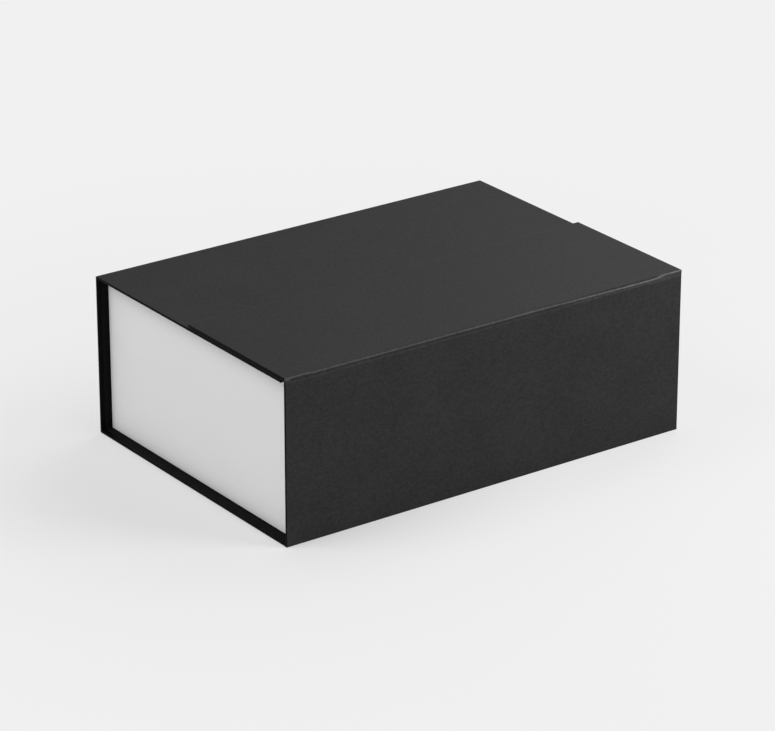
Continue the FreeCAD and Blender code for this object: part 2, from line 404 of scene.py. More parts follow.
# %% [markdown]
# ## Meshes
#
# Each paper is worked out as a grid of points, one row for each point of its path and one column
# for each place across it. The grid becomes quads, the quads get a thin thickness with Solidify,
# and one number for each point gives its finish: from 0 up to 1 the paper is lighter, as wear and
# as painted highlight, and from 0 down to -1 it is darker, as painted shade.

# %% Turn grids of points into a piece
PAPER_SHOWN = 0.12


def quads(rows, columns, first, closed):
    """The corner numbers of a grid's quads. A closed grid joins its last column to its first."""
    numbers = first + np.arange(rows * columns).reshape(rows, columns)
    ahead = np.roll(numbers, -1, axis=1)
    if not closed:
        numbers, ahead = numbers[:, :-1], ahead[:, :-1]
    return np.stack([numbers[:-1], numbers[1:], ahead[1:], ahead[:-1]], -1).reshape(-1, 4)


def make_piece(name, grids, material, thickness=PAPER_SHOWN, closed=False, caps=()):
    """Build one mesh object from (points, finish) grids, in millimetres."""
    points, finish, faces, count = [], [], [], 0
    for grid, grid_finish in grids:
        rows, columns = grid.shape[:2]
        faces.append(quads(rows, columns, count, closed))
        points.append(grid.reshape(-1, 3))
        finish.append(np.broadcast_to(grid_finish, (rows, columns)).reshape(-1))
        count += rows * columns
    points = np.concatenate(points) / 1000
    faces = np.concatenate(faces).tolist() + [list(cap) for cap in caps]
    mesh = bpy.data.meshes.new(name)
    mesh.from_pydata(points.tolist(), [], faces)
    edge = mesh.attributes.new("wear_and_painted_light", "FLOAT", "POINT")
    edge.data.foreach_set("value", np.concatenate(finish).astype(np.float32))
    # Grids of one piece share a row of points, which are joined here.
    joined = bmesh.new()
    joined.from_mesh(mesh)
    bmesh.ops.remove_doubles(joined, verts=joined.verts, dist=1e-6)
    joined.to_mesh(mesh)
    joined.free()
    mesh.shade_smooth()
    mesh.materials.append(material)
    mesh.validate()
    piece = bpy.data.objects.new(name, mesh)
    bpy.context.scene.collection.objects.link(piece)
    if thickness:
        solid = piece.modifiers.new("paper thickness", "SOLIDIFY")
        solid.thickness = thickness / 1000
        solid.offset = -1.0
    print(f"{name}: {len(mesh.vertices)} points, {len(mesh.polygons)} faces")
    return piece


# %% [markdown]
# ## Paper folded over both ends of a board
#
# A cover panel is wrapped like a parcel: the sheet lies on the outside, goes over each end and
# is turned in behind. So one grid can hold the whole sheet. Its rows follow the panel's path,
# and its columns run from the turned-in lip at the left end, round the end, along the box and
# into the lip at the right end.

# %% The columns of a wrapped sheet
EDGE_RADIUS = 0.35
RADIUS_SHARE = 0.45
END_SHADE_DEPTH = 0.15


def wrapped_columns(fine=()):
    """Five numbers for each column, which place it along the box and through the panel.

    Along the box, x is face * (half length - r) + bend * r + lip * lip length. Through the
    panel, depth is deep * panel depth + curl * r. So the flat face has only `face`, an end
    rounds with the sine and cosine in `bend` and `curl`, and the lip lies at full depth.
    """
    angle = np.linspace(0, np.pi / 2, ARC_STEPS + 1)
    zero, one = np.zeros_like(angle), np.ones_like(angle)
    lip = np.array([1.0, 0.6, 0.2, 0.05])
    inner = np.stack([-one, -np.sin(angle), zero, one, np.cos(angle) - 1])
    middle = np.array([[-1.0], [-1.0], [0.0], [0.5], [0.0]])
    outer = np.stack([-one, -np.sin(angle), zero, zero, 1 - np.cos(angle)])[:, ::-1]
    lips = np.stack([-np.ones(4), np.zeros(4), lip, np.ones(4), np.zeros(4)])
    left = np.concatenate([lips, inner, middle, outer[:, :-1]], axis=1)
    along = run_places(2 * HALF_LENGTH, fine=fine) / HALF_LENGTH - 1
    face = np.stack([along] + [np.zeros_like(along)] * 4)
    right = left[:, ::-1] * np.array([-1.0, -1.0, -1.0, 1.0, 1.0])[:, None]
    return np.concatenate([left, face, right], axis=1)


FINE_ALONG = [HALF_LENGTH + x for x, y in DISC_PLACES]
COLUMNS = wrapped_columns(FINE_ALONG)


def wrapped_sheet(outer, inner, depth, lip, half_length):
    """Points of a sheet whose rows run from `outer` towards `inner`, and their finish.

    A row's point is outer + (inner - outer) * depth share, at the x of its column. The finish falls
    smoothly to -1, a painted shade, over the first 0.15 mm of depth round the board's end.
    """
    face, bend, lips, deep, curl = COLUMNS
    depth, lip, half_length = (
        np.broadcast_to(value, len(outer))[:, None] for value in (depth, lip, half_length)
    )
    radius = np.minimum(EDGE_RADIUS, RADIUS_SHARE * depth)
    x = face * (half_length - radius) + bend * radius + lips * lip
    share = (deep * depth + curl * radius) / depth
    across = outer[:, None] + (inner - outer)[:, None] * share[..., None]
    points = np.concatenate([x[..., None], across], axis=2)
    # Painted shade: the paper round a board's end gets a finish down to -1, which colours it
    # darker.
    return points, -smooth_step(share * depth, 0.0, END_SHADE_DEPTH)


def unevenness(x, along, size, seed):
    """How far a panel's face lies behind its true plane: a few long, shallow waves.

    It is never negative, so a face never leaves the CAD box.
    """
    draw = np.random.default_rng(seed)
    waves = np.zeros(np.broadcast(x, along).shape)
    for _ in range(5):
        length_x, length_along = draw.uniform(60, 190, 2)
        shift_x, shift_along = draw.uniform(0, 2 * np.pi, 2)
        waves = waves + np.sin(2 * np.pi * x / length_x + shift_x) * np.sin(
            2 * np.pi * along / length_along + shift_along
        )
    return size * (0.5 + 0.1 * waves).clip(0, 1)


def face_part(value, plane):
    """1 on an outer face and 0 from 0.02 mm behind it, so that only the face's points move."""
    return smooth_step(value, plane - 0.02, plane - 0.001)


def inside_of(distance, start=1.0):
    """0 at a panel's edge and 1 from 12 mm inside it, so that the edge itself stays straight."""
    return smooth_step(distance, start, 12)


def lighten_where_unshaded(finish, scuff):
    """Lighten the finish, as wear and painted highlight, wherever the paper round a board's end
    isn't darkened as painted shade.
    """
    return np.where(finish < -0.02, finish, scuff)


def disc_marks(x, y, depth):
    """A faint round sink over each closure disc, flat inside and soft at its rim."""
    marks = np.zeros(np.broadcast(x, y).shape)
    for place_x, place_y in DISC_PLACES:
        away = np.hypot(x - place_x, y - place_y)
        marks = marks + depth * (1 - smooth_step(away, DISC_RADIUS - 0.2, DISC_RADIUS + 1.0))
    return marks


print("columns of a wrapped sheet:", COLUMNS.shape[1])

# %% [markdown]
# ## Materials of paper and board
#
# The black paper has a matt plastic film on it, as such boxes do against fingerprints. The film
# has a soft, wide highlight, and the fibres under it show as a faint mottle. Real fibres are
# finer than the picture can show, so the mottle is drawn coarser, at a bit over a millimetre.
# Edges are scuffed lighter, and along the top front fold and its crease the lightening is a painted
# highlight. Round the end of a board the paper is painted a deeper black, a painted shade.

# %% Laminated and uncoated papers
CLOUD_MM = 38
GRAIN_SHARE = 0.72
PAPER_RELIEF = 0.35


def new_material(name):
    """A material with an empty tree, and the object coordinates that its patterns read."""
    material = bpy.data.materials.new(name)
    material.use_nodes = True
    tree = material.node_tree
    tree.nodes.clear()
    where = add_node(tree, "ShaderNodeTexCoord")
    return material, tree, where.outputs["Object"]


def finish_material(tree, colour, roughness, height, bump_mm, bump_strength, **shader):
    """Join colour, roughness and height to one shader. Constants go on its own sockets."""
    bump = add_node(
        tree,
        "ShaderNodeBump",
        {"Height": height, "Distance": bump_mm / 1000, "Strength": bump_strength},
    )
    sockets = {"Base Color": colour, "Roughness": roughness, "Normal": bump.outputs[0]}
    sockets.update({name.replace("_", " "): value for name, value in shader.items()})
    principled = add_node(tree, "ShaderNodeBsdfPrincipled", sockets)
    add_node(tree, "ShaderNodeOutputMaterial", {"Surface": principled.outputs[0]})


def paper_material(name, dark, light, wear_and_highlight_colour, painted_shade, grain_mm, rough, bump_mm, **shader):
    """Paper: mottled between two close colours, lightened to a third for wear and painted
    highlight, darkened to a fourth for painted shade.
    """
    material, tree, where = new_material(name)
    cloud = add_node(
        tree,
        "ShaderNodeTexNoise",
        {"Vector": where, "Scale": 1000 / CLOUD_MM, "Detail": 3.0, "Roughness": 0.6},
    )
    stretch = add_node(tree, "ShaderNodeMapping", {"Vector": where, "Scale": (0.6, 1.0, 1.0)})
    grain = add_node(
        tree,
        "ShaderNodeTexNoise",
        {"Vector": stretch.outputs[0], "Scale": 1000 / grain_mm, "Detail": 3.0, "Roughness": 0.65},
    )
    blend = add_node(
        tree, "ShaderNodeMix", {0: GRAIN_SHARE, 2: cloud.outputs["Fac"], 3: grain.outputs["Fac"]},
        data_type="FLOAT",
    )
    mottle = add_node(
        tree,
        "ShaderNodeMapRange",
        {"Value": blend.outputs[0], "From Min": 0.38, "From Max": 0.62},
    )
    plain = add_node(
        tree,
        "ShaderNodeMix",
        {0: mottle.outputs[0], 6: srgb_to_linear(dark), 7: srgb_to_linear(light)},
        data_type="RGBA",
    )
    edge = add_node(tree, "ShaderNodeAttribute", attribute_name="wear_and_painted_light")
    patchy = add_node(
        tree,
        "ShaderNodeMapRange",
        {"Value": grain.outputs["Fac"], "From Min": 0.35, "From Max": 0.65,
         "To Min": 0.6, "To Max": 1.0},
    )
    scuffed = add_node(tree, "ShaderNodeMapRange", {"Value": edge.outputs["Fac"]})
    lighten_share = add_node(
        tree, "ShaderNodeMath", {0: scuffed.outputs[0], 1: patchy.outputs[0]}, operation="MULTIPLY"
    )
    # Above 0 the finish lightens the colour: wear, and painted highlight along the folds.
    lightened_colour = add_node(
        tree,
        "ShaderNodeMix",
        {0: lighten_share.outputs[0], 6: plain.outputs[2], 7: srgb_to_linear(wear_and_highlight_colour)},
        data_type="RGBA",
    )
    # Below 0 the finish darkens the colour: painted shade round the boards' ends.
    end_shade = add_node(
        tree,
        "ShaderNodeMapRange",
        {"Value": edge.outputs["Fac"], "From Min": 0.0, "From Max": -1.0},
    )
    colour = add_node(
        tree,
        "ShaderNodeMix",
        {0: end_shade.outputs[0], 6: lightened_colour.outputs[2], 7: srgb_to_linear(painted_shade)},
        data_type="RGBA",
    )
    roughness = add_node(
        tree,
        "ShaderNodeMapRange",
        {"Value": cloud.outputs["Fac"], "From Min": 0.3, "From Max": 0.7,
         "To Min": rough[0], "To Max": rough[1]},
    )
    finish_material(
        tree, colour.outputs[2], roughness.outputs[0], grain.outputs["Fac"], bump_mm,
        PAPER_RELIEF, **shader,
    )
    return material


# On the black paper the third colour gives wear and the painted highlights on the fold and crease,
# and the fourth the painted shade round the boards' ends.
BLACK_WRAP = paper_material(
    "black_matt_laminated_paper", "#2d2d2d", "#373737", "#909090", "#040404", 1.2, (0.56, 0.64),
    0.03, Specular_IOR_Level=0.06,
)
BLACK_LINER = paper_material(
    "black_uncoated_lining_paper", "#0d0d0d", "#151515", "#282828", "#090909", 1.2, (0.82, 0.92),
    0.05, Specular_IOR_Level=0.07,
)
WHITE_WRAP = paper_material(
    "white_matt_coated_paper", "#e9e9e9", "#ededed", "#d9d9d8", "#e5e5e5", 1.4, (0.6, 0.7),
    0.015, Specular_IOR_Level=0.25,
)
WHITE_LINING = paper_material(
    "white_uncoated_lining_paper", "#e7e6e4", "#edecea", "#dad8d3", "#e2e1df", 1.2, (0.82, 0.92),
    0.04, Specular_IOR_Level=0.2,
)
GREY_BOARD = paper_material(
    "pressed_grey_pulp_board", "#8b867d", "#a09b92", "#b4afa6", "#7d786f", 1.0, (0.85, 0.95),
    0.08, Specular_IOR_Level=0.2,
)
KRAFT_TAPE = paper_material(
    "brown_gummed_kraft_tape", "#8d6b45", "#a07d54", "#b8966c", "#7d5d3a", 1.0, (0.65, 0.75),
    0.04, Specular_IOR_Level=0.3,
)
print("papers:", [m.name for m in bpy.data.materials if m.name.endswith(("paper", "tape"))])

# %% [markdown]
# ## Metal discs
#
# The magnets are nickel plated, a warm grey metal polished by tumbling. The discs that they
# pull on are zinc-plated steel, cooler and duller. Both lie inside their boards, but a piece
# that can't be seen still gets its real finish.

# %% Plated metals
PLATING_BUMP_MM = 0.01
PLATING_RELIEF = 0.3


def metal_material(name, dark, light, rough, grain_mm):
    """Plated metal: two close tints, with fine marks in its roughness and surface."""
    material, tree, where = new_material(name)
    marks = add_node(
        tree, "ShaderNodeTexNoise", {"Vector": where, "Scale": 1000 / grain_mm, "Detail": 4.0}
    )
    colour = add_node(
        tree,
        "ShaderNodeMix",
        {0: marks.outputs["Fac"], 6: srgb_to_linear(dark), 7: srgb_to_linear(light)},
        data_type="RGBA",
    )
    roughness = add_node(
        tree,
        "ShaderNodeMapRange",
        {"Value": marks.outputs["Fac"], "To Min": rough[0], "To Max": rough[1]},
    )
    finish_material(
        tree, colour.outputs[2], roughness.outputs[0], marks.outputs["Fac"], PLATING_BUMP_MM,
        PLATING_RELIEF, Metallic=1.0,
    )
    return material


NICKEL = metal_material("tumbled_nickel_plating", "#c2bdb4", "#d2cec6", (0.2, 0.34), 0.8)
ZINC = metal_material("dull_zinc_plated_steel", "#a9abad", "#bdbfc1", (0.35, 0.5), 1.6)
print("materials:", [m.name for m in bpy.data.materials if m.node_tree and m.users])

# %% [markdown]
# ## Cover: base, back and lid
#
# Base, back panel and lid are covered by one sheet of black paper. From the side its line is a
# square C: along under the base, up the back, over the lid, round the lid's front edge and in
# behind it. Its inner side is the same line pressed into the rectangle that the inner faces of
# the boards make, and that gives every end face and every mitred corner without a special case.

# %% The cover's sheet
FOLD_RADIUS = 0.8
BASE_FOLD_RADIUS = 0.5
BACK_FOLD_RADIUS = 0.6
STRIP_DEPTH = 0.2
PLAN_RADIUS = 0.5
SHORTEST_LIP = 0.4
HAIR = 0.01
SAME = 1e-6


def free_edge_grids(outer, inner, depth, to_free_edge, turned):
    """Grids of a sheet that is turned in behind one free edge as well as both ends.

    Near the free edge a row shortens along a quarter circle, and its lips grow shorter, so the
    turned-in papers meet on a slant. The strip behind the edge fills what the lips leave. It
    has the face's own columns, so it starts on the sheet's last row.
    """
    lip = np.clip(to_free_edge, SHORTEST_LIP, TURN_IN)
    short = np.clip(PLAN_RADIUS - to_free_edge, 0, PLAN_RADIUS)
    half_length = HALF_LENGTH - (PLAN_RADIUS - np.sqrt(PLAN_RADIUS**2 - short**2))
    sheet = ~turned
    points, finish = wrapped_sheet(
        outer[sheet], inner[sheet], depth[sheet], lip[sheet], half_length[sheet]
    )
    scuff = 0.06 * np.exp(-np.maximum(to_free_edge[sheet], 0) / 0.5)[:, None]
    finish = lighten_where_unshaded(finish, scuff)
    strip = turned | (np.convolve(turned, [1, 1, 1], "same") > 0)
    on_face = (COLUMNS[1] == 0) & (COLUMNS[3] == 0)
    slant = np.maximum(0, to_free_edge[strip] - EDGE_RADIUS)
    reach = half_length[strip] - np.minimum(EDGE_RADIUS, RADIUS_SHARE * depth[strip]) - slant
    strip_x = COLUMNS[0][on_face] * reach[:, None]
    behind = np.broadcast_to(outer[strip][:, None], (*strip_x.shape, 2))
    strip_points = np.concatenate([strip_x[..., None], behind], axis=2)
    # The turned-in strip behind the free edge gets half of the painted shade.
    return [(points, finish), (strip_points, -0.5 * turned[strip][:, None])]


PANEL_WAVES = 0.10
DISC_SINK = 0.05


def press_in(points, normal, amount):
    """Move points against a fixed normal by an amount in millimetres for each point."""
    return points - np.asarray(normal, float) * amount[..., None]


cover_outer = path(
    [(-HALF_WIDTH + BASE_FOLD_RADIUS, 0), (BASE_BOARD_EDGE, 0), (HALF_WIDTH, 0),
     (HALF_WIDTH, LID_TOP), (LID_EDGE, LID_TOP), (LID_EDGE, LID_TOP - CORE),
     (LID_EDGE + TURN_IN, LID_TOP - CORE)],
    [0, 0, BACK_FOLD_RADIUS, FOLD_RADIUS, EDGE_RADIUS, EDGE_RADIUS, 0],
    fine=[(3, HALF_WIDTH - DISC_PLACES[0][1])],
)
across, height = cover_outer.T
# In front of the base's board the sheet runs on alone, down to the fold of the front panel.
alone = (height < CORE) & (across < BASE_BOARD_EDGE - 0.2)
cover_depth = np.where(alone, STRIP_DEPTH, CORE)
cover_inner = np.stack([
    np.minimum(across, HALF_WIDTH - CORE),
    np.where(alone, STRIP_DEPTH, np.clip(height, CORE, LID_TOP - CORE)),
], axis=1)
on_lid = (height > LID_TOP - CORE - HAIR) & (across < 0)
to_lid_edge = np.where(on_lid, across - LID_EDGE, TURN_IN)
lid_turned = on_lid & (height < LID_TOP - CORE + EDGE_RADIUS - SAME)
cover_grids = free_edge_grids(cover_outer, cover_inner, cover_depth, to_lid_edge, lid_turned)

points, finish = cover_grids[0]
x, y, z = points[..., 0], points[..., 1], points[..., 2]
from_ends = inside_of(HALF_LENGTH - np.abs(x), 0.5)
inside = from_ends * inside_of(HALF_WIDTH - y)
lid_waves = unevenness(x, y, PANEL_WAVES, 11) * inside * inside_of(y - LID_EDGE, 0.5)
lid_dips = lid_waves + disc_marks(x, y, DISC_SINK)
points = press_in(points, (0, 0, 1), face_part(z, LID_TOP) * lid_dips)
inside = from_ends * inside_of(z) * inside_of(LID_TOP - z)
back_waves = unevenness(x, z, PANEL_WAVES, 12) * inside
points = press_in(points, (0, 1, 0), face_part(y, HALF_WIDTH) * back_waves)
corner = 0.08 * np.exp(-np.hypot(HALF_WIDTH - y, np.minimum(z, LID_TOP - z)) / 0.5)
cover_grids[0] = (points, lighten_where_unshaded(finish, finish + corner))
cover_sheet = make_piece("cover_wrap_sheet", cover_grids, BLACK_WRAP)
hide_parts("base_wrap_paper", "back_wrap_paper", "lid_wrap_paper")
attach(cover_sheet, "cover")

# %% [markdown]
# ## The fold at the top front edge
#
# The front panel's board stops at the height of the lid, but its paper goes on to the top of the
# closing flap. So the last 2.5 mm under the fold are paper alone. Three lines show there: a bright
# line on the fold, a dark hollow under it, and a soft light crease where the paper meets the board.
# The hollow is in the paper's shape. The bright line and the light crease are painted highlights,
# drawn as scuffing. Near both ends the paper is doubled by its turned-in edge, so the fold stays
# stiff there, and its painted bright line jumps up at the far end.

# %% How the fold's painted highlights and hollow are made
BAND_TOP = FLAP_TOP - FOLD_RADIUS
HOLLOW_HEIGHT = FRONT_BOARD_TOP + 0.55
CREASE_HEIGHT = FRONT_BOARD_TOP - 0.8


def sunk_part(x):
    """1 where the fold lies lower, between x = 118 and 128. It grows from x = 30, ends at 135."""
    return smooth_step(x, 30, 118) * (1 - smooth_step(x, 128, 135))


def fold_highlight_paint(x, up):
    """Painted highlight along the fold, `up` millimetres round the bend from the bend's lower end.

    It is a bell curve across the fold, drawn as scuffing. Its middle sinks with the fold, then
    jumps back up where the paper is doubled, and its strength grows towards the far end. The near
    corner gets a painted highlight too.
    """
    doubled = smooth_step(np.abs(x), 129, 135)
    middle = 0.15 - 0.75 * sunk_part(x) + 0.5 * doubled
    strength = 0.30 + 0.08 * smooth_step(x, -60, 60) + 0.32 * smooth_step(x, 60, 140)
    strength = strength * (1 + 0.12 * np.sin(x / 5.3) * np.sin(x / 2.9 + 1))
    line = strength * np.exp(-(((up - middle) / 0.5) ** 2))
    corner = 0.4 * np.exp(-(((x + 148.6) / 1.5) ** 2) - ((up - 0.2) / 1.0) ** 2)
    return np.maximum(line, corner)


def hollow(x, z):
    """How far the paper sinks inwards between the fold and the board. It fades to the right."""
    depth = 0.27 - 0.18 * smooth_step(x, 50, 75) - 0.05 * smooth_step(np.abs(x), 128, 136)
    return (depth + 0.02 * np.sin(x / 6.1)) * np.exp(-(((z - HOLLOW_HEIGHT) / 0.42) ** 2))


def fold_drop(x):
    """How far the fold itself is pressed down along its length."""
    waves = 0.03 + 0.012 * np.sin(x / 23 + 2) + 0.008 * np.sin(x / 7.3)
    return waves + 0.03 * sunk_part(x)


def crease_highlight_paint(x, z):
    """Painted highlight on the crease at the board's top edge, and on the doubled paper above it at
    the far end.
    """
    height = CREASE_HEIGHT - 0.35 * smooth_step(x, 112, 138) + 0.06 * np.sin(x / 9)
    line = (0.055 + 0.03 * smooth_step(x, 60, 130)) * np.exp(-(((z - height) / 0.5) ** 2))
    above = smooth_step(z, CREASE_HEIGHT - 0.3, CREASE_HEIGHT + 0.5)
    doubled = (0.05 * smooth_step(x, 50, 75) + 0.02 * smooth_step(x, 90, 130)) * above
    return line + doubled


print("hollow at the middle:", round(float(hollow(0.0, HOLLOW_HEIGHT)), 3), "mm")

# %% [markdown]
# ## Front panel
#
# The front panel's sheet is a flat grid with many rows near the fold. It is turned in over the
# board at both ends, and over nothing but the thin band of paper at the top.

# %% The front panel's sheet
BAND_DEPTH = 0.3
CREASE_BOTTOM = CREASE_HEIGHT - 1.4

heights = np.concatenate([
    np.linspace(BAND_TOP, FRONT_BOARD_TOP + 0.1, 9),
    np.linspace(FRONT_BOARD_TOP, CREASE_BOTTOM, 9),
    CREASE_BOTTOM - run_places(CREASE_BOTTOM - BASE_FOLD_RADIUS)[1:],
])
front_outer = np.stack([np.full_like(heights, -HALF_WIDTH), heights], axis=1)
front_depth = np.where(heights > FRONT_BOARD_TOP + 0.02, BAND_DEPTH, CORE)
front_inner = front_outer + np.stack([front_depth, np.zeros_like(heights)], axis=1)
points, finish = wrapped_sheet(front_outer, front_inner, front_depth, TURN_IN, HALF_LENGTH)
x, y, z = points[..., 0], points[..., 1], points[..., 2].copy()
inside = inside_of(HALF_LENGTH - np.abs(x), 0.5) * inside_of(z)
inside = inside * inside_of(FRONT_BOARD_TOP - 1 - z, 0)
front_waves = face_part(-y, HALF_WIDTH) * inside * unevenness(x, z, PANEL_WAVES, 21)
points = press_in(points, (0, -1, 0), front_waves + hollow(x, z))
points[..., 2] -= fold_drop(x) * smooth_step(z, FRONT_BOARD_TOP + 0.4, BAND_TOP)
# Painted highlights on the fold and on the crease at the board's top edge.
scuff = fold_highlight_paint(x, z - BAND_TOP) + crease_highlight_paint(x, z)
front_sheet = make_piece("front_wrap_sheet", [(points, lighten_where_unshaded(finish, scuff))], BLACK_WRAP)
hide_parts("front_wrap_paper")
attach(front_sheet, "front_panel")

# %% [markdown]
# ## Closing flap
#
# The flap is wrapped as the lid is. Its sheet comes over from the fold, runs to the middle of
# the top and is turned in behind the free edge. Its line starts at the turned-in end, so that
# the grid's rows keep their direction and the faces point outwards.

# %% The flap's sheet
FLAP_UNDER = FLAP_TOP - CORE
FLAP_WAVES = 0.12

flap_outer = path(
    [(FLAP_EDGE - TURN_IN, FLAP_UNDER), (FLAP_EDGE, FLAP_UNDER), (FLAP_EDGE, FLAP_TOP),
     (-HALF_WIDTH + FOLD_RADIUS, FLAP_TOP)],
    [0, EDGE_RADIUS, EDGE_RADIUS, 0],
)
across, height = flap_outer.T
flap_inner = np.stack([across, np.full_like(across, FLAP_UNDER)], axis=1)
flap_turned = height < FLAP_UNDER + EDGE_RADIUS - SAME
flap_grids = free_edge_grids(
    flap_outer, flap_inner, np.full_like(across, CORE), FLAP_EDGE - across, flap_turned
)
points, finish = flap_grids[0]
x, y, z = points[..., 0], points[..., 1], points[..., 2]
inside = inside_of(HALF_LENGTH - np.abs(x), 0.5) * inside_of(FLAP_EDGE - y, 0.5)
waves = unevenness(x, y, FLAP_WAVES, 31) * inside * smooth_step(y + HALF_WIDTH, 2, 14)
drop = fold_drop(x) * (1 - smooth_step(y, -HALF_WIDTH + FOLD_RADIUS, -HALF_WIDTH + 4))
points = press_in(points, (0, 0, 1), face_part(z, FLAP_TOP) * (waves + drop))
round_bend = FOLD_RADIUS * np.pi / 2
# Painted highlight on the part of the fold that lies on the flap.
scuff = fold_highlight_paint(x, round_bend + y + HALF_WIDTH - FOLD_RADIUS)
flap_grids[0] = (points, lighten_where_unshaded(finish, finish + scuff))
flap_sheet = make_piece("flap_wrap_sheet", flap_grids, BLACK_WRAP)
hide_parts("flap_wrap_paper")
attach(flap_sheet, "closing_flap")

# %% [markdown]
# ## The two folds that turn
#
# On the real cover the paper simply runs round a fold. Here the panels are separate bodies, so the
# bend itself is a narrow strip of the same paper between the two bodies. Its rounding catches the
# light along its whole length, and with the painted highlight on it that makes the bright line
# along the box's top front edge.

# %% Strips of paper round the folds


def bending_strip(name, middle, start_angle, radius, inward, drop, scuff):
    """A quarter round of paper along the box. Rows go round the arc, columns run along x.

    A point is middle + radius * (cos, sin) of its angle. It is moved inwards at the arc's front
    end and down by `drop`, so that it meets the sheets at both of its sides.
    """
    along = run_places(2 * HALF_LENGTH, 2.0) - HALF_LENGTH
    angles = start_angle + np.linspace(0, np.pi / 2, 2 * ARC_STEPS + 1)[:, None]
    y = middle[0] + np.cos(angles) * (radius + 0 * along)
    z = middle[1] + np.sin(angles) * (radius + 0 * along)
    y = y + inward(along) * np.clip(-np.cos(angles), 0, 1)
    z = z - drop(along)
    points = np.stack(np.broadcast_arrays(along, y, z), axis=2)
    up = radius * (np.pi - angles)
    return make_piece(name, [(points, scuff(along, up) + 0 * y)], BLACK_WRAP)


# The strip's finish is the fold's painted highlight.
flap_crease = bending_strip(
    "flap_fold_strip", (-HALF_WIDTH + FOLD_RADIUS, BAND_TOP), np.pi / 2, FOLD_RADIUS,
    lambda x: hollow(x, BAND_TOP), fold_drop, fold_highlight_paint,
)
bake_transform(flap_crease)

base_crease = bending_strip(
    "front_fold_strip", (-HALF_WIDTH + BASE_FOLD_RADIUS, BASE_FOLD_RADIUS), np.pi,
    BASE_FOLD_RADIUS, lambda x: 0 * x, lambda x: 0 * x, lambda x, up: 0.05 + 0 * x,
)
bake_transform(base_crease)

# %% [markdown]
# ## Linings of the cover
#
# Inside, a second black paper hides the boards and the turned-in edges. It lies on the
# turned-in paper all round and on the bare board in the middle, so it shows a faint step where
# the paper under it ends. The lining also goes over the board's edges at the folds, where it
# reaches to the board's ends, so that no bare board shows when a fold is open.

# %% Lay a lining along a path
LINING_STEP = 1.0
STEP_SPOTS = np.array([-1.2, -0.9, -0.6, -0.3, 0.0, 0.3])
LINING_WAVES = 0.03
BARE_END = 0.3
# How far the lining lies off a board's edge, off a board's underside and off the outer paper.
OVER_EDGE = 0.14
UNDER_EDGE = 0.045
IN_FOLD = 0.22
IN_FLAP_FOLD = 0.21
BAND_LINING = 0.34
FLAP_EDGE_LINING = 0.42
LINING_BEND = 0.25


def lining_grid(line, dip_rows, seed, marks=0.0, wide_rows=0.0):
    """A lining's grid: its path along rows, x along columns, and the step under it.

    A point moves against the path's normal by the depth of the step, which grows smoothly
    behind the turned-in ends and behind the rows where `dip_rows` is 1. Where `wide_rows` is 1
    a row is stretched to the board's ends.
    """
    half = HALF_LENGTH - LINER_MARGIN
    reach = HALF_LENGTH - TURN_IN
    along = run_places(2 * half, fine=FINE_ALONG)
    extra = np.concatenate([half - reach + STEP_SPOTS + LINING_STEP, half + reach + STEP_SPOTS])
    along = np.unique(np.concatenate([along, extra]).round(3)) - half
    run = np.gradient(line, axis=0)
    run /= np.linalg.norm(run, axis=1, keepdims=True)
    normal = np.stack([run[:, 1], -run[:, 0]], axis=1)
    dip = LINER_DIP * smooth_step(reach - np.abs(along), 0, LINING_STEP) * dip_rows[:, None]
    waves = unevenness(along, np.arange(len(line))[:, None] * 5.0, LINING_WAVES, seed)
    dip = dip + waves * dip_rows[:, None]
    if marks:
        dip = dip + disc_marks(along, line[:, :1], marks)
    across = line[:, None] - normal[:, None] * dip[..., None]
    wider = 1 + (LINER_MARGIN - BARE_END) / half * (wide_rows + np.zeros(len(line)))[:, None]
    points = np.concatenate([(along * wider)[..., None], across], axis=2)
    return points, 0.2 * np.exp(-(half - np.abs(along)) / 0.8)


cover_line = path(
    [(LID_EDGE + LINER_MARGIN, LID_TOP - PANEL), (LID_EDGE + TURN_IN, LID_TOP - PANEL),
     (HALF_WIDTH - PANEL, LID_TOP - PANEL), (HALF_WIDTH - PANEL, PANEL),
     (BASE_BOARD_EDGE - OVER_EDGE, PANEL), (BASE_BOARD_EDGE - OVER_EDGE, IN_FOLD)],
    [0, 0, 1.0, 1.0, LINING_BEND, 0],
)
across, height = cover_line.T
on_lid = height > LID_TOP / 2
dips = smooth_step(across, LID_EDGE + TURN_IN, LID_EDGE + TURN_IN + 1.2)
dips = np.where(on_lid, dips, smooth_step(across, BASE_BOARD_EDGE + 0.3, BASE_BOARD_EDGE + 2))
cover_lining = make_piece("cover_lining", [lining_grid(cover_line, dips, 41)], BLACK_LINER)
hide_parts("base_liner_paper", "back_liner_paper", "lid_liner_paper")
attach(cover_lining, "cover")

front_line = path(
    [(-HALF_WIDTH + IN_FOLD, FRONT_BOARD_BOTTOM - UNDER_EDGE),
     (-HALF_WIDTH + PANEL, FRONT_BOARD_BOTTOM - UNDER_EDGE),
     (-HALF_WIDTH + PANEL, FRONT_BOARD_TOP + OVER_EDGE),
     (-HALF_WIDTH + BAND_LINING, FRONT_BOARD_TOP + OVER_EDGE),
     (-HALF_WIDTH + BAND_LINING, BAND_TOP - 0.1)],
    [0, 0.2, LINING_BEND, 0.2, 0],
)
height = front_line[:, 1]
dips = smooth_step(height, 0.5, 2.5) * smooth_step(FRONT_BOARD_TOP - height, 0.3, 2.5)
under_board = 1 - smooth_step(height, FRONT_BOARD_BOTTOM + 0.3, FRONT_BOARD_BOTTOM + 1.5)
front_grid = lining_grid(front_line, dips, 42, wide_rows=under_board)
front_lining = make_piece("front_lining", [front_grid], BLACK_LINER, thickness=0.03)
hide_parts("front_liner_paper")
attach(front_lining, "front_panel")

